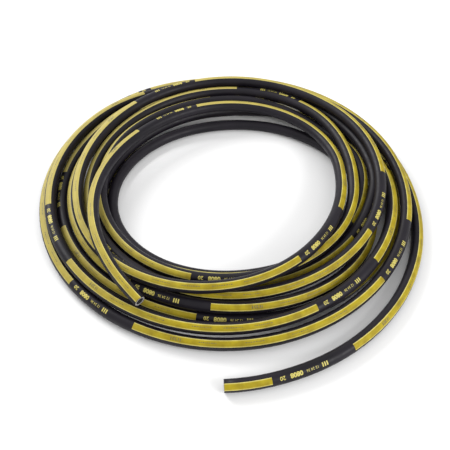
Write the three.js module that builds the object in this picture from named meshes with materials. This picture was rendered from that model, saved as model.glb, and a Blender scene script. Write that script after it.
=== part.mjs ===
// Hydraulic hose: one length of wire-reinforced rubber hose, lying in a loose coil on a level floor.
// Units are millimetres, +Z is up, and the origin is the middle of the footprint on the floor.
// The free end lies at the front (-Y), and the other cut end lies on top of the coil, front left.
import * as THREE from "three";

// Section of the hose, from the bore outwards
const BORE_DIAMETER = 12.7;
const TUBE_WALL = 1.5;
const WIRE_WALL = 2.3;
const COVER_WALL = 1.45;
const LAYER_CLEARANCE = 0.35;

// Facets of each layer's section
const COVER_SIDES = 10;
const LAYER_SIDES = 6;
const BORE_SIDES = 8;

// Route: one row for each turn, from the free end to the top end.
// Each value belongs to one station, and the stations are 45 degrees apart:
// front, front right, right, back right, back, back left, left, front left.
const STATION_DEGREES = 45;
const STEPS_PER_TURN = 24;

// Radius of the open eye in the middle of the coil
const EYE_RADIUS = 200;

// How far the hose's centreline lies outside the eye's radius
const LANE_OFFSETS = [
  [291, 276, 173, 188, 186, 184, 181, 196],
  [212, 208, 184, 172, 164, 172, 174, 146],
  [130, 206, 166, 166, 160, 174, 176, 183],
  [190, 174, 161, 144, 36, 38, 78, 88],
  [62, 76, 142, 152, 130, 128, 130, 136],
  [137, 172, 114, 58, -2, 26, 56, 64],
  [48, 62, 126, 104, 82, 64, 72, 92],
  [76, 80, 82, 114, 126, 82, 75, 102],
  [110, 130, 149, 122, 144, 116, 94, 146],
  [120, 70, 56, 80, 34, 14, 50, 120],
];

// Height of the hose's centreline above the floor
const LANE_HEIGHTS = [
  [12, 12, 12, 12, 12, 12, 12, 12],
  [12, 20, 35, 37, 37, 12, 12, 12],
  [12, 12, 12, 12, 16, 38, 36, 34],
  [22, 34, 34, 12, 33, 35, 12, 12],
  [12, 22, 36, 37, 24, 24, 30, 38],
  [37, 22, 12, 12, 12, 12, 12, 12],
  [12, 12, 38, 12, 38, 35, 37, 35],
  [36, 42, 36, 45, 46, 40, 38, 36],
  [36, 45, 60, 62, 60, 52, 53, 60],
  [62, 66, 40, 40, 59, 62, 63, 87],
];

// The top end, on the coil at the front left
const TOP_END_OFFSET = 178;
const TOP_END_HEIGHT = 60;
const TOP_END_DEGREES = 336;

// Settling: neighbouring turns are moved apart until this much room is left between them
const TURN_CLEARANCE = 1.4;
const SMOOTHING_ROUNDS = 40;
const SETTLING_ROUNDS = 60;
const SMOOTHING = 0.06;

const boreRadius = BORE_DIAMETER / 2;
const tubeRadius = boreRadius + TUBE_WALL;
const wireInnerRadius = tubeRadius + LAYER_CLEARANCE;
const wireOuterRadius = wireInnerRadius + WIRE_WALL;
const coverInnerRadius = wireOuterRadius + LAYER_CLEARANCE;
const coverRadius = coverInnerRadius + COVER_WALL;
const turnPitch = 2 * coverRadius + TURN_CLEARANCE;
const degreesPerStep = 360 / STEPS_PER_TURN;
const routeDegrees = (LANE_OFFSETS.length - 1) * 360 + TOP_END_DEGREES;
const endStep = routeDegrees / degreesPerStep;

// Smooth curve through the station values, read at every step of the route
function stationCurve(rows, endValue) {
  const values = [...rows.flat(), endValue];
  const angles = values.map((_, i) => i * STATION_DEGREES);
  angles[angles.length - 1] = routeDegrees;
  const slopes = values.map((_, i) => {
    if (i === 0) return 0;
    const next = Math.min(i + 1, values.length - 1);
    return (values[next] - values[i - 1]) / (angles[next] - angles[i - 1]);
  });
  const out = [];
  for (let step = 0; step < endStep + 1; step++) {
    const angle = step * degreesPerStep;
    let k = 0;
    while (k < angles.length - 2 && angles[k + 1] <= angle) k++;
    const span = angles[k + 1] - angles[k];
    const t = (angle - angles[k]) / span;
    const t2 = t * t;
    const t3 = t2 * t;
    out.push(
      (2 * t3 - 3 * t2 + 1) * values[k] +
        (t3 - 2 * t2 + t) * span * slopes[k] +
        (3 * t2 - 2 * t3) * values[k + 1] +
        (t3 - t2) * span * slopes[k + 1],
    );
  }
  return out;
}

// Moves two stretches of hose apart where they are closer than the pitch
function separate(radius, height, lower, upper) {
  const mean = (list, indices) => indices.reduce((sum, i) => sum + list[i], 0) / indices.length;
  const dr = mean(radius, upper) - mean(radius, lower);
  const dz = mean(height, upper) - mean(height, lower);
  const distance = Math.max(Math.hypot(dr, dz), 1e-6);
  if (distance >= turnPitch) return;
  const push = (0.5 * (turnPitch - distance)) / distance / lower.length;
  for (const i of upper) {
    radius[i] += push * dr;
    height[i] += push * dz;
  }
  for (const i of lower) {
    radius[i] -= push * dr;
    height[i] -= push * dz;
  }
}

// Hose centreline: settled radius and height at every step
function settledRoute() {
  const radius = stationCurve(LANE_OFFSETS, TOP_END_OFFSET).map((offset) => EYE_RADIUS + offset);
  const height = stationCurve(LANE_HEIGHTS, TOP_END_HEIGHT);
  const count = radius.length;
  for (let round = 0; round < SMOOTHING_ROUNDS + SETTLING_ROUNDS; round++) {
    for (let offset = STEPS_PER_TURN; offset < count; offset += STEPS_PER_TURN) {
      for (let i = 0; i + offset < count; i++) {
        separate(radius, height, [i], [i + offset]);
        if (i + offset + 1 < count) separate(radius, height, [i, i + 1], [i + offset, i + offset + 1]);
      }
    }
    if (round < SMOOTHING_ROUNDS) {
      for (const list of [radius, height]) {
        const before = [...list];
        for (let i = 1; i < count - 1; i++) {
          list[i] += SMOOTHING * (before[i - 1] + before[i + 1] - 2 * before[i]);
        }
      }
    }
    for (let i = 0; i < count; i++) height[i] = Math.max(height[i], coverRadius);
  }
  // The last step is shortened, so that the hose ends where it was cut
  const last = count - 1;
  const cut = endStep - (last - 1);
  radius[last] = THREE.MathUtils.lerp(radius[last - 1], radius[last], cut);
  height[last] = THREE.MathUtils.lerp(height[last - 1], height[last], cut);
  return radius.map((r, i) => {
    const angle = THREE.MathUtils.degToRad(Math.min(i, endStep) * degreesPerStep);
    return new THREE.Vector3(r * Math.sin(angle), -r * Math.cos(angle), height[i]);
  });
}

// A path whose steps are the route's own points, so that every layer bends at the same places
class HoseRoute extends THREE.Curve {
  constructor(points) {
    super();
    this.points = points;
  }

  indexAt(u) {
    return Math.round(u * (this.points.length - 1));
  }

  getPoint(u, target = new THREE.Vector3()) {
    return target.copy(this.points[this.indexAt(u)]);
  }

  getPointAt(u, target) {
    return this.getPoint(u, target);
  }

  getTangentAt(u, target = new THREE.Vector3()) {
    const i = this.indexAt(u);
    const last = this.points.length - 1;
    const before = this.points[Math.max(i - 1, 0)];
    const after = this.points[Math.min(i + 1, last)];
    return target.copy(after).sub(before).normalize();
  }
}

// Corners of a regular polygon whose corners lie on the given radius
function ring(PathType, cornerRadius, sides) {
  const path = new PathType();
  for (let i = 0; i < sides; i++) {
    const angle = (2 * Math.PI * i) / sides;
    const x = cornerRadius * Math.cos(angle);
    const y = cornerRadius * Math.sin(angle);
    if (i === 0) path.moveTo(x, y);
    else path.lineTo(x, y);
  }
  path.closePath();
  return path;
}

// One layer of the hose, swept along the whole route
function layer(name, route, outerRadius, outerSides, innerRadius, innerSides, material) {
  const section = ring(THREE.Shape, outerRadius, outerSides);
  section.holes.push(ring(THREE.Path, innerRadius, innerSides));
  const geometry = new THREE.ExtrudeGeometry(section, {
    steps: route.points.length - 1,
    extrudePath: route,
    bevelEnabled: false,
    curveSegments: 1,
  });
  const mesh = new THREE.Mesh(geometry, material);
  mesh.name = name;
  return mesh;
}

const route = new HoseRoute(settledRoute());

const coverRubber = new THREE.MeshStandardMaterial({ color: 0x2b2830, roughness: 0.55, metalness: 0 });
const steelWire = new THREE.MeshStandardMaterial({ color: 0xb9bbbd, roughness: 0.4, metalness: 0.9 });
const tubeRubber = new THREE.MeshStandardMaterial({ color: 0x18171a, roughness: 0.7, metalness: 0 });

const hose = new THREE.Group();
hose.add(
  layer("outer_cover", route, coverRadius, COVER_SIDES, coverInnerRadius, LAYER_SIDES, coverRubber),
  layer("wire_reinforcement", route, wireOuterRadius, LAYER_SIDES, wireInnerRadius, LAYER_SIDES, steelWire),
  layer("inner_tube", route, tubeRadius, LAYER_SIDES, boreRadius, BORE_SIDES, tubeRubber),
);

// Middle of the footprint on the floor becomes the origin
const footprint = new THREE.Box3().setFromObject(hose.children[0], true);
const middle = footprint.getCenter(new THREE.Vector3());
hose.position.set(-middle.x, -middle.y, -footprint.min.z);
hose.updateMatrixWorld(true);

export default hose;
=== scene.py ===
"""Hydraulic hose: one length of wire-reinforced rubber hose in a loose coil on a pale studio floor.

Lengths are in metres unless a comment says millimetres, and +Z is up. The hose's route repeats
the stations and the settling of the part's own source.
"""
import math
import random

import bmesh
import bpy
import numpy as np
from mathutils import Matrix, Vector


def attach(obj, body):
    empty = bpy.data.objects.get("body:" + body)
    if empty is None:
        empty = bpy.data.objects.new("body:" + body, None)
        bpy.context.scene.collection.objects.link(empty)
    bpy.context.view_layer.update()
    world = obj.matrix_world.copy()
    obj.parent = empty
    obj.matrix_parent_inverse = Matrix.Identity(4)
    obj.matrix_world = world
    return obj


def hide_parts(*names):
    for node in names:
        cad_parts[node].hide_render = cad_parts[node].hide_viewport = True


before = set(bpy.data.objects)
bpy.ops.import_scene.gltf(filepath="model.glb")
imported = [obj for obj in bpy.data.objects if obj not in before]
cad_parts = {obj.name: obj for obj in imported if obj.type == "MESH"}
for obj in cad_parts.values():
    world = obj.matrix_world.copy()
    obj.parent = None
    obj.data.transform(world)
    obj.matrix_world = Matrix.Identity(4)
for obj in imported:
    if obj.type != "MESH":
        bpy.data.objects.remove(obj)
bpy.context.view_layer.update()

MM = 0.001

# Section of the hose, from the bore outwards
BORE_DIAMETER = 12.7 * MM
TUBE_WALL = 1.5 * MM
WIRE_WALL = 2.3 * MM
COVER_WALL = 1.45 * MM
LAYER_CLEARANCE = 0.35 * MM
BORE_RADIUS = BORE_DIAMETER / 2
TUBE_RADIUS = BORE_RADIUS + TUBE_WALL
WIRE_INNER_RADIUS = TUBE_RADIUS + LAYER_CLEARANCE
WIRE_OUTER_RADIUS = WIRE_INNER_RADIUS + WIRE_WALL
COVER_INNER_RADIUS = WIRE_OUTER_RADIUS + LAYER_CLEARANCE
HOSE_RADIUS = COVER_INNER_RADIUS + COVER_WALL

# Route: eight stations for each turn, and the finer steps at which the curve through them is read
STATION_DEGREES = 45
STEPS_PER_TURN = 24
DEGREES_PER_STEP = 360 / STEPS_PER_TURN

# Radius of the open eye, and how far the hose's centreline lies outside it, in millimetres.
# One row for each turn, from the free end to the top end, with its stations in this order:
# front, front right, right, back right, back, back left, left, front left.
EYE_RADIUS = 200
LANE_OFFSETS = [
    [291, 276, 173, 188, 186, 184, 181, 196],
    [212, 208, 184, 172, 164, 172, 174, 146],
    [130, 206, 166, 166, 160, 174, 176, 183],
    [190, 174, 161, 144, 36, 38, 78, 88],
    [62, 76, 142, 152, 130, 128, 130, 136],
    [137, 172, 114, 58, -2, 26, 56, 64],
    [48, 62, 126, 104, 82, 64, 72, 92],
    [76, 80, 82, 114, 126, 82, 75, 102],
    [110, 130, 149, 122, 144, 116, 94, 146],
    [120, 70, 56, 80, 34, 14, 50, 120],
]

# Height of the hose's centreline above the floor at the same stations, in millimetres
LANE_HEIGHTS = [
    [12, 12, 12, 12, 12, 12, 12, 12],
    [12, 20, 35, 37, 37, 12, 12, 12],
    [12, 12, 12, 12, 16, 38, 36, 34],
    [22, 34, 34, 12, 33, 35, 12, 12],
    [12, 22, 36, 37, 24, 24, 30, 38],
    [37, 22, 12, 12, 12, 12, 12, 12],
    [12, 12, 38, 12, 38, 35, 37, 35],
    [36, 42, 36, 45, 46, 40, 38, 36],
    [36, 45, 60, 62, 60, 52, 53, 60],
    [62, 66, 40, 40, 59, 62, 63, 87],
]

# Top end, on the coil at the front left: its offset and height in millimetres, and its place in
# the last turn in degrees. The length of the whole route follows from it.
TOP_END_OFFSET = 178
TOP_END_HEIGHT = 60
TOP_END_DEGREES = 336
ROUTE_DEGREES = (len(LANE_OFFSETS) - 1) * 360 + TOP_END_DEGREES
END_STEP = ROUTE_DEGREES / DEGREES_PER_STEP

# Settling: neighbouring turns are moved apart until this much room, in millimetres, is left
TURN_CLEARANCE = 1.4
SMOOTHING_ROUNDS = 40
SETTLING_ROUNDS = 60
SMOOTHING = 0.06
SMALLEST_DISTANCE = 1e-6

# Where the coil's middle lies in the part's frame, whose origin is the middle of the footprint
COIL_MIDDLE = Vector((-0.0085, 0.04854, 0.0))

# Visual hose: rings for each step of the route, facets around each layer, and the cuts' bevel
RINGS_PER_STEP = 6
COVER_SIDES = 28
LAYER_SIDES = 14
CUT_BEVEL = 0.3 * MM

# Printed band: its width around the hose, and its angle from straight up towards the outside,
# at the front, right, back and left of each turn
BAND_WIDTH = 13.5 * MM
BAND_COLUMNS = 9
HALF_BAND = BAND_WIDTH / 2 / HOSE_RADIUS
BAND_STATION_DEGREES = 90
BAND_ANGLES = [
    [42, 40, 10, 22],
    [30, 32, 6, 26],
    [38, 38, 4, 12],
    [33, 34, 78, 84],
    [46, 44, 14, 48],
    [38, 50, 88, 70],
    [30, 46, 62, 36],
    [34, 36, 14, 30],
    [44, 30, 14, 12],
    [34, 32, 12, 20],
]

# Places without the yellow ground, in degrees along the winding from the free end
GAP_MIDDLES = [
    19.5, 120, 220, 324, 420, 530, 637, 725, 830, 920, 1015, 1119, 1250, 1385, 1513, 1600, 1782,
    1930, 2070, 2210, 2330, 2524, 2679, 2838, 2954, 3087, 3286, 3457,
]
GAP_LENGTH = 165 * MM

# Ink: how far it stands above the cover, or above the yellow ground, and how far it reaches in
INK = 0.12 * MM
INK_ON_INK = 0.2 * MM
PATCH_DEPTH = 0.25 * MM

# Printed numbers: flat letters, cut across at this spacing so that they bend around the hose.
# Their own depth only tells the top of the ink from its root.
CAP_SHARE = 0.73
LETTER_CUT = 1.2 * MM
LETTER_DEPTH = 1.0
LETTER_WELD = 1e-4
LETTER_CURVE_STEPS = 2
LETTER_UV = (0.0, 0.5)

# Plain numbers in each gap: text, height, thickening, and the room before them
GAP_TWO_NUMERALS = "20"
GAP_FOUR_NUMERALS = "0808"
GAP_SMALL_NUMERALS = "12 24 36"
GAP_ROWS = [
    (GAP_TWO_NUMERALS, 7.5 * MM, 0.02, 14 * MM),
    (GAP_FOUR_NUMERALS, 8.5 * MM, 0.045, 9 * MM),
    (GAP_SMALL_NUMERALS, 5 * MM, 0.0, 7 * MM),
]

# Plain bars after the numbers in each gap
GAP_BARS = [2.4 * MM, 2.4 * MM, 2.4 * MM]
GAP_BAR_HEIGHT = 8 * MM
GAP_BAR_SPACE = 2 * MM
GAP_BAR_ROOM = 8 * MM

# Dark group near the start of each yellow stretch: a bar, two numerals and two bars
GROUP_START = 75 * MM
GROUP_ROOM = 50 * MM
GROUP_HEIGHT = 6 * MM
GROUP_THICKENING = 0.03
GROUP_SPACE = 2 * MM
GROUP_FIRST_BARS = [2 * MM]
GROUP_LAST_BARS = [2 * MM, 1.4 * MM]

# Rows of fine dark bars along the rest of each yellow stretch
ROW_START = 40 * MM
ROW_ROOM = 60 * MM
ROW_BARS = 9
ROW_BAR_LENGTHS = (1.2 * MM, 1.8 * MM, 2.6 * MM, 3.4 * MM)
ROW_BAR_HEIGHT = 1.5 * MM
ROW_BAR_SPACE = 1.6 * MM
ROW_MIDDLE = -0.8 * MM
ROW_SPACES = (20 * MM, 50 * MM)
ROW_SEED = 7

# Longest facets of a bar, along the hose and as an angle around it
BAR_STEP = 6 * MM
BAR_STEP_ANGLE = 0.12

# Least distance between a stretch's end and the next ring of the band
BAND_END_ROOM = 2 * MM

# Cut wires: rings of fine wire ends that stand a little proud of the cut
WIRE_DIAMETER = 0.46 * MM
WIRE_RINGS = [8.62 * MM, 9.18 * MM, 9.74 * MM, 10.3 * MM]
WIRE_SPACING = 0.62 * MM
WIRE_SIDES = 8
WIRE_PROUD = 0.25 * MM
WIRE_ROOT = 0.6 * MM
WIRE_SCATTER = 0.04 * MM
WIRE_PROUD_SHARES = (0.4, 1.0)
WIRE_THICKNESS_SHARES = (0.85, 1.0)
WIRE_SEED = 12

# Width of a layer's inner wall in the texture's own coordinates
INNER_WALL_UV = 0.01

# Black rubber of the cover. Each noise is given by its scale and its detail.
COVER_BASE = (0.02, 0.017, 0.023)
COVER_ROUGHNESS = 0.5
COVER_CLOUDS = [(0.3, (0.005, 0.004, 0.007)), (0.72, (0.014, 0.011, 0.017))]
COVER_CLOUD_NOISE = (9, 5)
COVER_PATCH_NOISE = (60, 4)
COVER_PATCH_RANGE = (0.3, 0.7)
COVER_ROUGHNESS_RANGE = (0.38, 0.56)
COVER_SPECULAR = 0.26
WRAP_SCALE = 180
WRAP_DISTORTION = 1.5
COVER_GRAIN_NOISE = (900, 3)
COVER_BUMP_STRENGTH = 0.25
COVER_BUMP_HEIGHT = 0.15 * MM

# Yellow ink of the band: its colour across the band, with painted sheen that makes it paler along
# both borders
YELLOW_BASE = (0.62, 0.52, 0.07)
YELLOW_ROUGHNESS = 0.55
YELLOW_ACROSS_WITH_EDGE_SHEEN = [
    (0.0, (0.68, 0.61, 0.21)),
    (0.09, (0.62, 0.54, 0.13)),
    (0.16, (0.42, 0.325, 0.008)),
    (0.84, (0.38, 0.29, 0.006)),
    (0.92, (0.62, 0.54, 0.13)),
    (1.0, (0.68, 0.61, 0.21)),
]
YELLOW_DIRT = [(0.35, (0.62, 0.58, 0.5)), (0.6, (1, 1, 1))]
YELLOW_DIRT_NOISE = (45, 6)
YELLOW_DIRT_SHARE = 0.8
YELLOW_SPECULAR = 0.25
YELLOW_GRAIN_NOISE = (700, 3)
YELLOW_BUMP_STRENGTH = 0.2
YELLOW_BUMP_HEIGHT = 0.1 * MM

# Painted light on the yellow ink: it grows paler towards the back left, measured as y - x across the
# coil
LIT_SIDE_YELLOW = (0.50, 0.42, 0.135)
LIT_SIDE_RANGE = (-0.25, 0.5)
LIT_SIDE_SHARES = (0.0, 0.8)

# Plain materials: name, dark and light colour, roughness, metallic and scale of the noise
NOISE_STOPS = (0.35, 0.65)
NOISE_ROUGHNESS = 0.6
PLAIN_NOISE_DETAIL = 4
MARK_YELLOW = ("marking_yellow_ink", (0.50, 0.42, 0.07), (0.62, 0.54, 0.14), 0.5, 0, 300)
MARK_DARK = ("marking_dark_ink", (0.09, 0.075, 0.03), (0.2, 0.17, 0.05), 0.5, 0, 300)
WIRE_STEEL = ("wire_steel", (0.50, 0.49, 0.50), (0.85, 0.84, 0.85), 0.4, 0.6, 900)
WIRE_BOND = ("wire_bond_rubber", (0.22, 0.21, 0.22), (0.5, 0.49, 0.5), 0.5, 0.3, 1500)
TUBE_BLACK = ("tube_rubber_black", (0.004, 0.0035, 0.004), (0.010, 0.009, 0.010), 0.8, 0, 200)

# Camera: the view is the photograph's, about 45 degrees above the floor
CAMERA_DISTANCE = 1.59
CAMERA_ELEVATION = math.radians(45)
CAMERA_LENS = 56.6
CAMERA_SENSOR = 36
CAMERA_CLIP = (0.05, 50)
PICTURE_WIDTH = 450
CAMERA_SHIFT = (1 / PICTURE_WIDTH, -33 / PICTURE_WIDTH)

# Studio: a pale floor, an even sky, and two soft lamps as name, place, size and power
FLOOR_GREY = 0.9
FLOOR_ROUGHNESS = 0.75
FLOOR_HALF = 30
SKY_STRENGTH = 0.8
LAMPS = [
    ("key_from_back_left", (-2.0, 2.0, 2.0), (1.8, 1.2), 78),
    ("fill_from_front_right", (2.4, -1.8, 1.7), (1.6, 1.2), 56),
]


def station_curve(rows, end_value):
    """Smooth curve through the station values, read at every step of the route."""
    values = [value for row in rows for value in row] + [end_value]
    angles = [i * STATION_DEGREES for i in range(len(values))]
    angles[-1] = ROUTE_DEGREES
    last = len(values) - 1
    slopes = [0.0]
    for i in range(1, last + 1):
        after = min(i + 1, last)
        slopes.append((values[after] - values[i - 1]) / (angles[after] - angles[i - 1]))
    out = []
    for step in range(math.ceil(END_STEP) + 1):
        angle = step * DEGREES_PER_STEP
        k = 0
        while k < last - 1 and angles[k + 1] <= angle:
            k += 1
        span = angles[k + 1] - angles[k]
        t = (angle - angles[k]) / span
        out.append(
            (2 * t**3 - 3 * t**2 + 1) * values[k]
            + (t**3 - 2 * t**2 + t) * span * slopes[k]
            + (3 * t**2 - 2 * t**3) * values[k + 1]
            + (t**3 - t**2) * span * slopes[k + 1]
        )
    return out


def separate(radius, height, lower, upper, pitch):
    """Moves two stretches of hose apart where they are closer than the pitch."""
    share = len(lower)
    dr = sum(radius[i] for i in upper) / share - sum(radius[i] for i in lower) / share
    dz = sum(height[i] for i in upper) / share - sum(height[i] for i in lower) / share
    distance = max(math.hypot(dr, dz), SMALLEST_DISTANCE)
    if distance >= pitch:
        return
    push = 0.5 * (pitch - distance) / distance / share
    for i in upper:
        radius[i] += push * dr
        height[i] += push * dz
    for i in lower:
        radius[i] -= push * dr
        height[i] -= push * dz


def settled_route():
    """Radius and height of the centreline, in metres, at every step of the route."""
    radius = [EYE_RADIUS + offset for offset in station_curve(LANE_OFFSETS, TOP_END_OFFSET)]
    height = station_curve(LANE_HEIGHTS, TOP_END_HEIGHT)
    count = len(radius)
    lowest = HOSE_RADIUS / MM
    pitch = 2 * lowest + TURN_CLEARANCE
    for settling in range(SMOOTHING_ROUNDS + SETTLING_ROUNDS):
        for offset in range(STEPS_PER_TURN, count, STEPS_PER_TURN):
            for i in range(count - offset):
                separate(radius, height, (i,), (i + offset,), pitch)
                if i + offset + 1 < count:
                    separate(radius, height, (i, i + 1), (i + offset, i + offset + 1), pitch)
        if settling < SMOOTHING_ROUNDS:
            for row in (radius, height):
                before = list(row)
                for i in range(1, count - 1):
                    row[i] += SMOOTHING * (before[i - 1] + before[i + 1] - 2 * before[i])
        for i in range(count):
            height[i] = max(height[i], lowest)
    return np.array(radius) * MM, np.array(height) * MM


def cubic(values, at):
    """Smooth values between whole steps, passing through every step."""
    k = np.clip(np.floor(at).astype(int), 0, len(values) - 2)
    t = at - k
    before = values[np.maximum(k - 1, 0)]
    after = values[np.minimum(k + 2, len(values) - 1)]
    start, end = values[k], values[k + 1]
    return (
        start
        + 0.5 * t * (end - before)
        + t**2 * (before - 2.5 * start + 2 * end - 0.5 * after)
        + t**3 * (1.5 * (start - end) + 0.5 * (after - before))
    )


class Route:
    """The hose's centreline with a frame at every ring: direction, up and outward."""

    def __init__(self):
        radius, height = settled_route()
        steps = np.linspace(0, END_STEP, math.ceil(END_STEP) * RINGS_PER_STEP + 1)
        self.degrees = steps * DEGREES_PER_STEP
        angle = np.radians(self.degrees)
        r = cubic(radius, steps)
        z = np.maximum(cubic(height, steps), HOSE_RADIUS)
        self.centre = np.stack([r * np.sin(angle), -r * np.cos(angle), z], 1) + np.array(COIL_MIDDLE)
        direction = np.gradient(self.centre, axis=0)
        self.direction = direction / np.linalg.norm(direction, axis=1)[:, None]
        up = np.array([0.0, 0.0, 1.0]) - self.direction * self.direction[:, 2:]
        self.up = up / np.linalg.norm(up, axis=1)[:, None]
        self.out = np.cross(self.direction, self.up)
        gaps = np.linalg.norm(np.diff(self.centre, axis=0), axis=1)
        self.along = np.concatenate([[0.0], np.cumsum(gaps)])
        self.length = float(self.along[-1])
        band = np.array(BAND_ANGLES, float).ravel()
        stations = np.clip(self.degrees / BAND_STATION_DEGREES, 0, len(band) - 1)
        self.band = np.radians(cubic(band, stations))

    def at(self, along):
        """Centre, up, outward and band angle at distances along the hose."""
        along = np.asarray(along, float)
        out = []
        for values in (self.centre, self.up, self.out):
            out.append(np.stack([np.interp(along, self.along, values[:, i]) for i in range(3)], -1))
        out.append(np.interp(along, self.along, self.band))
        return out

    def surface(self, along, angle, radius):
        """Points on the hose at distances along it and angles from the middle of the band."""
        centre, up, outward, band = self.at(along)
        turned = (band + angle)[..., None]
        around = np.cos(turned) * up + np.sin(turned) * outward
        return centre + np.asarray(radius)[..., None] * around

    def along_at(self, degrees):
        """Distance along the hose at an angle along the winding."""
        return float(np.interp(degrees, self.degrees, self.along))


route = Route()


def new_object(name, verts, faces, mat, uvs=None, smooth=True):
    """A mesh object with one material, in the scene."""
    mesh = bpy.data.meshes.new(name)
    mesh.from_pydata([tuple(v) for v in verts], [], faces)
    if uvs is not None:
        layer = mesh.uv_layers.new(name="UVMap")
        layer.data.foreach_set("uv", np.asarray(uvs, np.float32).ravel())
    mesh.materials.append(mat)
    mesh.polygons.foreach_set("use_smooth", [smooth] * len(mesh.polygons))
    mesh.update()
    obj = bpy.data.objects.new(name, mesh)
    bpy.context.scene.collection.objects.link(obj)
    return obj


def layer_mesh(name, outer, outer_sides, inner, inner_sides, mat, cut_bevel=0.0):
    """A tube with a wall, along the whole route, with a bevel at the outer edge of each cut."""
    along = route.along
    count = len(along)
    outer_radii = np.full(count, outer)
    outer_radii[[0, -1]] -= cut_bevel
    walls = []
    for radii, sides in ((outer_radii, outer_sides), (np.full(count, inner), inner_sides)):
        angle = np.arange(sides) * 2 * math.pi / sides
        walls.append(route.surface(along[:, None], angle[None, :], radii[:, None]).reshape(-1, 3))
    faces = []
    uvs = []
    around = 2 * math.pi * outer
    for i in range(count - 1):
        for j in range(outer_sides):
            k = (j + 1) % outer_sides
            a, b = i * outer_sides + j, i * outer_sides + k
            faces.append((a, b, b + outer_sides, a + outer_sides))
            v0 = around * j / outer_sides
            v1 = around * (j + 1) / outer_sides
            uvs += [(along[i], v0), (along[i], v1), (along[i + 1], v1), (along[i + 1], v0)]
    base = count * outer_sides
    for i in range(count - 1):
        for j in range(inner_sides):
            k = (j + 1) % inner_sides
            a, b = base + i * inner_sides + j, base + i * inner_sides + k
            faces.append((a, a + inner_sides, b + inner_sides, b))
            v1 = INNER_WALL_UV
            uvs += [(along[i], 0.0), (along[i + 1], 0.0), (along[i + 1], v1), (along[i], v1)]
    ratio = outer_sides // inner_sides
    for i, at_start in ((0, True), (count - 1, False)):
        first_outer = i * outer_sides
        first_inner = base + i * inner_sides
        for j in range(inner_sides):
            k = (j + 1) % inner_sides
            fan = [first_outer + (j * ratio + q) % outer_sides for q in range(ratio + 1)]
            face = fan + [first_inner + k, first_inner + j]
            faces.append(tuple(face[::-1] if at_start else face))
            uvs += [(along[i], 0.0)] * len(face)
    return new_object(name, np.concatenate(walls), faces, mat, uvs)


class Patches:
    """Thin closed pieces that lie on the hose's surface, gathered into one mesh."""

    def __init__(self):
        self.verts = []
        self.faces = []
        self.uvs = []

    def corner_count(self):
        """How many corners have been gathered so far."""
        return sum(len(v) for v in self.verts)

    def add_solid(self, points, faces):
        """A closed piece whose corners already lie on the hose."""
        base = self.corner_count()
        self.verts.append(points)
        for face in faces:
            self.faces.append(tuple(base + i for i in face))
            self.uvs += [LETTER_UV] * len(face)

    def add(self, along, angles, height):
        """One patch over the given distances along the hose and angles around it."""
        n, m = len(along), len(angles)
        base = self.corner_count()
        low_base = base + n * m
        for radius in (HOSE_RADIUS + height, HOSE_RADIUS - PATCH_DEPTH):
            grid = route.surface(along[:, None], angles[None, :], np.full((n, 1), radius))
            self.verts.append(grid.reshape(-1, 3))
        across = (angles - angles[0]) / (angles[-1] - angles[0])

        def uv(i, j):
            return (along[i], across[j])

        for i in range(n - 1):
            for j in range(m - 1):
                a = base + i * m + j
                self.faces.append((a, a + 1, a + m + 1, a + m))
                self.uvs += [uv(i, j), uv(i, j + 1), uv(i + 1, j + 1), uv(i + 1, j)]
                a = low_base + i * m + j
                self.faces.append((a, a + m, a + m + 1, a + 1))
                self.uvs += [uv(i, j), uv(i + 1, j), uv(i + 1, j + 1), uv(i, j + 1)]
        rim = [(i, 0) for i in range(n)] + [(n - 1, j) for j in range(1, m)]
        rim += [(i, m - 1) for i in range(n - 2, -1, -1)] + [(0, j) for j in range(m - 2, 0, -1)]
        for (i, j), (p, q) in zip(rim, rim[1:] + rim[:1]):
            a, b = i * m + j, p * m + q
            self.faces.append((base + a, base + b, low_base + b, low_base + a))
            self.uvs += [uv(i, j), uv(p, q), uv(p, q), uv(i, j)]

    def build(self, name, mat):
        """The gathered pieces as one object."""
        verts = np.concatenate(self.verts)
        return new_object(name, verts, self.faces, mat, self.uvs, smooth=False)


def spread(start, end, longest):
    """Values from start to end, at most this far apart."""
    return np.linspace(start, end, max(2, math.ceil(abs(end - start) / longest) + 1))


def node(tree, kind, **inputs):
    """A new shader node with some of its inputs set."""
    item = tree.nodes.new(kind)
    for key, value in inputs.items():
        item.inputs[key.replace("_", " ")].default_value = value
    return item


def math_node(tree, operation, first, second):
    """The result of a sum or difference of two outputs."""
    item = tree.nodes.new("ShaderNodeMath")
    item.operation = operation
    tree.links.new(first, item.inputs[0])
    tree.links.new(second, item.inputs[1])
    return item.outputs["Value"]


def map_range(tree, value, start, end):
    """An output brought from one range of values to another."""
    item = node(
        tree,
        "ShaderNodeMapRange",
        From_Min=start[0],
        From_Max=start[1],
        To_Min=end[0],
        To_Max=end[1],
    )
    tree.links.new(value, item.inputs["Value"])
    return item.outputs["Result"]


def colour_ramp(tree, value, stops):
    """Colours at places between 0 and 1, read at an output's value."""
    ramp = tree.nodes.new("ShaderNodeValToRGB")
    elements = ramp.color_ramp.elements
    while len(elements) < len(stops):
        elements.new(0.5)
    for element, (position, colour) in zip(elements, stops):
        element.position = position
        element.color = (*colour, 1)
    tree.links.new(value, ramp.inputs["Fac"])
    return ramp.outputs["Color"]


def noise(tree, coordinate, scale, detail):
    """A cloudy value over the coordinate."""
    item = node(tree, "ShaderNodeTexNoise", Scale=scale, Detail=detail, Roughness=NOISE_ROUGHNESS)
    tree.links.new(coordinate, item.inputs["Vector"])
    return item.outputs["Fac"]


def split(tree, vector):
    """The outputs X, Y and Z of a vector."""
    parts = tree.nodes.new("ShaderNodeSeparateXYZ")
    tree.links.new(vector, parts.inputs["Vector"])
    return parts.outputs


def bump(tree, shader, value, strength, height):
    """Raises the surface a little where the value is high."""
    item = node(tree, "ShaderNodeBump", Strength=strength, Distance=height)
    tree.links.new(value, item.inputs["Height"])
    tree.links.new(item.outputs["Normal"], shader.inputs["Normal"])


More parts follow.
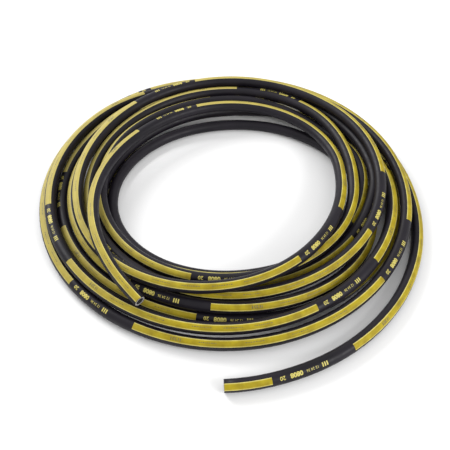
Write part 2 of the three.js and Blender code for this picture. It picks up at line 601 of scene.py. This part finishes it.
def material(name, colour, roughness, metallic=0.0):
    """A new material, its node tree and its shader."""
    mat = bpy.data.materials.new(name)
    mat.use_nodes = True
    shader = mat.node_tree.nodes["Principled BSDF"]
    shader.inputs["Base Color"].default_value = (*colour, 1)
    shader.inputs["Roughness"].default_value = roughness
    shader.inputs["Metallic"].default_value = metallic
    return mat, mat.node_tree, shader


def cover_material():
    """Black rubber: wrapped texture, dusty variation and a soft sheen."""
    mat, tree, shader = material("cover_rubber_black", COVER_BASE, COVER_ROUGHNESS)
    coords = tree.nodes.new("ShaderNodeTexCoord")
    cloudy = noise(tree, coords.outputs["Object"], *COVER_CLOUD_NOISE)
    tree.links.new(colour_ramp(tree, cloudy, COVER_CLOUDS), shader.inputs["Base Color"])
    patchy = noise(tree, coords.outputs["Object"], *COVER_PATCH_NOISE)
    rough = map_range(tree, patchy, COVER_PATCH_RANGE, COVER_ROUGHNESS_RANGE)
    tree.links.new(rough, shader.inputs["Roughness"])
    wrap = node(tree, "ShaderNodeTexWave", Scale=WRAP_SCALE, Distortion=WRAP_DISTORTION)
    wrap.bands_direction = "DIAGONAL"
    tree.links.new(coords.outputs["UV"], wrap.inputs["Vector"])
    grain = noise(tree, coords.outputs["Object"], *COVER_GRAIN_NOISE)
    relief = math_node(tree, "ADD", wrap.outputs["Fac"], grain)
    bump(tree, shader, relief, COVER_BUMP_STRENGTH, COVER_BUMP_HEIGHT)
    shader.inputs["Specular IOR Level"].default_value = COVER_SPECULAR
    return mat


def yellow_material():
    """Yellow ink with painted sheen along its borders, slight dirt, and painted light that makes it
    paler towards the back left.
    """
    mat, tree, shader = material("layline_yellow_ink", YELLOW_BASE, YELLOW_ROUGHNESS)
    coords = tree.nodes.new("ShaderNodeTexCoord")
    # Colour across the band: yellow ink, with painted sheen along both borders
    band_colour_with_edge_sheen = colour_ramp(tree, split(tree, coords.outputs["UV"])["Y"], YELLOW_ACROSS_WITH_EDGE_SHEEN)
    dirt = noise(tree, coords.outputs["Object"], *YELLOW_DIRT_NOISE)
    dirty = tree.nodes.new("ShaderNodeMix")
    dirty.data_type = "RGBA"
    dirty.blend_type = "MULTIPLY"
    dirty.inputs["Factor"].default_value = YELLOW_DIRT_SHARE
    tree.links.new(band_colour_with_edge_sheen, dirty.inputs["A"])
    tree.links.new(colour_ramp(tree, dirt, YELLOW_DIRT), dirty.inputs["B"])
    # Painted light: the yellow turns paler towards the back left, the lit side of the coil
    place = split(tree, coords.outputs["Object"])
    towards_back_left = math_node(tree, "SUBTRACT", place["Y"], place["X"])
    lit_side_mix = tree.nodes.new("ShaderNodeMix")
    lit_side_mix.data_type = "RGBA"
    lit_side_mix.inputs["B"].default_value = (*LIT_SIDE_YELLOW, 1)
    lit_side_share = map_range(tree, towards_back_left, LIT_SIDE_RANGE, LIT_SIDE_SHARES)
    tree.links.new(lit_side_share, lit_side_mix.inputs["Factor"])
    tree.links.new(dirty.outputs["Result"], lit_side_mix.inputs["A"])
    tree.links.new(lit_side_mix.outputs["Result"], shader.inputs["Base Color"])
    grain = noise(tree, coords.outputs["Object"], *YELLOW_GRAIN_NOISE)
    bump(tree, shader, grain, YELLOW_BUMP_STRENGTH, YELLOW_BUMP_HEIGHT)
    shader.inputs["Specular IOR Level"].default_value = YELLOW_SPECULAR
    return mat


def plain_noise_material(name, dark, light, roughness, metallic, scale):
    """A material that varies between two colours."""
    mat, tree, shader = material(name, dark, roughness, metallic)
    coords = tree.nodes.new("ShaderNodeTexCoord")
    cloudy = noise(tree, coords.outputs["Object"], scale, PLAIN_NOISE_DETAIL)
    colour = colour_ramp(tree, cloudy, list(zip(NOISE_STOPS, (dark, light))))
    tree.links.new(colour, shader.inputs["Base Color"])
    return mat


def make_camera():
    """Camera at the photograph's angle, aimed at the middle of the coil."""
    data = bpy.data.cameras.new("camera")
    data.lens = CAMERA_LENS
    data.sensor_width = CAMERA_SENSOR
    data.shift_x, data.shift_y = CAMERA_SHIFT
    data.clip_start, data.clip_end = CAMERA_CLIP
    camera = bpy.data.objects.new("camera", data)
    bpy.context.scene.collection.objects.link(camera)
    towards_camera = Vector((0, -math.cos(CAMERA_ELEVATION), math.sin(CAMERA_ELEVATION)))
    offset = towards_camera * CAMERA_DISTANCE
    camera.location = COIL_MIDDLE + offset
    camera.rotation_euler = (-offset).to_track_quat("-Z", "Y").to_euler()
    bpy.context.scene.camera = camera


def letter_mesh(text, height, thickening):
    """Closed flat letters of this height, as corners and faces, from the plain built-in font."""
    curve = bpy.data.curves.new("letters", "FONT")
    curve.body = text
    curve.resolution_u = LETTER_CURVE_STEPS
    curve.offset = thickening
    curve.extrude = LETTER_DEPTH
    holder = bpy.data.objects.new("letters", curve)
    bpy.context.scene.collection.objects.link(holder)
    mesh = bpy.data.meshes.new_from_object(holder)
    bpy.data.objects.remove(holder)
    shape = bmesh.new()
    shape.from_mesh(mesh)
    bmesh.ops.remove_doubles(shape, verts=shape.verts, dist=LETTER_WELD)
    scale = height / CAP_SHARE
    for level in spread(0, height, LETTER_CUT)[1:-1]:
        everything = shape.verts[:] + shape.edges[:] + shape.faces[:]
        place = (0, level / scale, 0)
        bmesh.ops.bisect_plane(shape, geom=everything, plane_co=place, plane_no=(0, 1, 0))
    shape.verts.index_update()
    corners = np.array([vert.co for vert in shape.verts])
    faces = [[vert.index for vert in face.verts] for face in shape.faces]
    shape.free()
    corners[:, :2] *= scale
    corners[:, 0] -= corners[:, 0].min()
    return corners, faces


def add_letters(patches, letters, start, cap_height, ink):
    """Letters that read towards the free end, with their feet inwards. Returns where they end."""
    corners, faces = letters
    width = corners[:, 0].max()
    along = start + width - corners[:, 0]
    angle = (corners[:, 1] - cap_height / 2) / HOSE_RADIUS
    radius = np.where(corners[:, 2] > 0, HOSE_RADIUS + ink, HOSE_RADIUS - PATCH_DEPTH)
    patches.add_solid(route.surface(along, angle, radius), faces)
    return start + width


def add_bars(patches, lengths, start, height, ink, space, middle=0.0):
    """Plain bars in a row along the hose. Returns where they end."""
    low = (middle - height / 2) / HOSE_RADIUS
    high = (middle + height / 2) / HOSE_RADIUS
    angles = spread(low, high, BAR_STEP_ANGLE)
    for length in lengths:
        patches.add(spread(start, start + length, BAR_STEP), angles, ink)
        start += length + space
    return start


def add_dark_marks(patches, group_numerals, start, end, rng):
    """A dark group and rows of fine bars on one yellow stretch."""
    cursor = start + GROUP_START
    if cursor + GROUP_ROOM < end:
        group = (GROUP_HEIGHT, INK_ON_INK, GROUP_SPACE)
        cursor = add_bars(patches, GROUP_FIRST_BARS, cursor, *group)
        cursor = add_letters(patches, group_numerals, cursor, GROUP_HEIGHT, INK_ON_INK)
        add_bars(patches, GROUP_LAST_BARS, cursor + GROUP_SPACE, *group)
    cursor += ROW_START
    row = (ROW_BAR_HEIGHT, INK_ON_INK, ROW_BAR_SPACE, ROW_MIDDLE)
    while cursor + ROW_ROOM < end:
        lengths = [rng.choice(ROW_BAR_LENGTHS) for _ in range(ROW_BARS)]
        cursor = add_bars(patches, lengths, cursor, *row)
        cursor += rng.choice(ROW_SPACES)


def make_print():
    """The yellow band, the yellow marks in its gaps and the dark marks on it."""
    bands = Patches()
    yellow_marks = Patches()
    dark_marks = Patches()
    gap_rows = []
    for text, height, thickening, room in GAP_ROWS:
        gap_rows.append((letter_mesh(text, height, thickening), height, room))
    group_numerals = letter_mesh(GAP_TWO_NUMERALS, GROUP_HEIGHT, GROUP_THICKENING)
    edges = [0.0]
    for degrees in GAP_MIDDLES:
        middle = route.along_at(degrees)
        edges += [middle - GAP_LENGTH / 2, middle + GAP_LENGTH / 2]
    edges.append(route.length)
    angles = np.linspace(-HALF_BAND, HALF_BAND, BAND_COLUMNS)
    rng = random.Random(ROW_SEED)
    for start, end in zip(edges[::2], edges[1::2]):
        far_enough = (route.along > start + BAND_END_ROOM) & (route.along < end - BAND_END_ROOM)
        bands.add(np.concatenate([[start], route.along[far_enough], [end]]), angles, INK)
        add_dark_marks(dark_marks, group_numerals, start, end, rng)
    for cursor in edges[1:-1:2]:
        for letters, height, room in gap_rows:
            cursor = add_letters(yellow_marks, letters, cursor + room, height, INK)
        cursor += GAP_BAR_ROOM
        add_bars(yellow_marks, GAP_BARS, cursor, GAP_BAR_HEIGHT, INK, GAP_BAR_SPACE)
    return (
        bands.build("layline_band", yellow_ink),
        yellow_marks.build("layline_gap_marks", mark_yellow),
        dark_marks.build("layline_small_marks", dark_ink),
    )


def make_wire_ends():
    """Small closed cylinders, the cut wires, in rings at both ends of the hose."""
    rng = random.Random(WIRE_SEED)
    verts = []
    faces = []
    for end, sign in ((0, -1), (len(route.along) - 1, 1)):
        centre, up, outward = route.centre[end], route.up[end], route.out[end]
        direction = route.direction[end] * sign
        for ring_radius in WIRE_RINGS:
            count = int(2 * math.pi * ring_radius / WIRE_SPACING)
            shift = rng.random()
            for i in range(count):
                angle = 2 * math.pi * (i + shift) / count
                radius = ring_radius + rng.uniform(-WIRE_SCATTER, WIRE_SCATTER)
                middle = centre + radius * (math.cos(angle) * up + math.sin(angle) * outward)
                proud = WIRE_PROUD * rng.uniform(*WIRE_PROUD_SHARES)
                half = WIRE_DIAMETER / 2 * rng.uniform(*WIRE_THICKNESS_SHARES)
                base = len(verts)
                for depth in (-WIRE_ROOT, proud):
                    for j in range(WIRE_SIDES):
                        turn = 2 * math.pi * j / WIRE_SIDES
                        side = half * (math.cos(turn) * up + math.sin(turn) * outward)
                        verts.append(middle + side + direction * depth)
                low = list(range(base, base + WIRE_SIDES))
                high = list(range(base + WIRE_SIDES, base + 2 * WIRE_SIDES))
                if sign > 0:
                    low, high = low[::-1], high[::-1]
                for j in range(WIRE_SIDES):
                    k = (j + 1) % WIRE_SIDES
                    faces.append((low[j], high[j], high[k], low[k]))
                faces.append(tuple(high))
                faces.append(tuple(low[::-1]))
    return new_object("hose_wire_ends", np.array(verts), faces, wire_steel, smooth=False)


def make_floor():
    """Wide pale floor at the height on which the hose lies."""
    mat = material("studio_floor", (FLOOR_GREY,) * 3, FLOOR_ROUGHNESS)[0]
    half = FLOOR_HALF
    corners = [(-half, -half, 0), (half, -half, 0), (half, half, 0), (-half, half, 0)]
    floor = new_object("studio_floor", corners, [(0, 1, 2, 3)], mat, smooth=False)


def area_light(name, place, size, power):
    """A soft lamp that shines at the origin."""
    data = bpy.data.lights.new(name, "AREA")
    data.shape = "RECTANGLE"
    data.size, data.size_y = size
    data.energy = power
    light = bpy.data.objects.new(name, data)
    light.location = place
    light.rotation_euler = (-Vector(place)).to_track_quat("-Z", "Y").to_euler()
    bpy.context.scene.collection.objects.link(light)


def make_light():
    """An even white sky and the soft lamps."""
    world = bpy.data.worlds.new("studio")
    world.use_nodes = True
    background = world.node_tree.nodes["Background"]
    background.inputs["Color"].default_value = (1, 1, 1, 1)
    background.inputs["Strength"].default_value = SKY_STRENGTH
    bpy.context.scene.world = world
    for lamp in LAMPS:
        area_light(*lamp)


cover_rubber = cover_material()
yellow_ink = yellow_material()
mark_yellow = plain_noise_material(*MARK_YELLOW)
dark_ink = plain_noise_material(*MARK_DARK)
wire_steel = plain_noise_material(*WIRE_STEEL)
wire_bond = plain_noise_material(*WIRE_BOND)
tube_rubber = plain_noise_material(*TUBE_BLACK)

make_camera()

cover_section = (HOSE_RADIUS, COVER_SIDES, COVER_INNER_RADIUS, LAYER_SIDES)
wire_section = (WIRE_OUTER_RADIUS, LAYER_SIDES, WIRE_INNER_RADIUS, LAYER_SIDES)
lining_section = (TUBE_RADIUS, LAYER_SIDES, BORE_RADIUS, LAYER_SIDES)
cover = layer_mesh("hose_cover", *cover_section, cover_rubber, CUT_BEVEL)
wire_layer = layer_mesh("hose_wire_layer", *wire_section, wire_bond)
lining = layer_mesh("hose_inner_tube", *lining_section, tube_rubber)
band, gap_marks, small_marks = make_print()
wire_ends = make_wire_ends()

for piece, slot in (
    (cover, "cover_rubber"),
    (wire_layer, "reinforcement_wire"),
    (lining, "tube_rubber"),
    (band, "cover_rubber"),
    (gap_marks, "cover_rubber"),
    (small_marks, "cover_rubber"),
    (wire_ends, "reinforcement_wire"),
):
    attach(piece, "root")

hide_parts("outer_cover")
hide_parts("wire_reinforcement")
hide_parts("inner_tube")

make_floor()
make_light()
bpy.context.scene.view_settings.view_transform = "Standard"
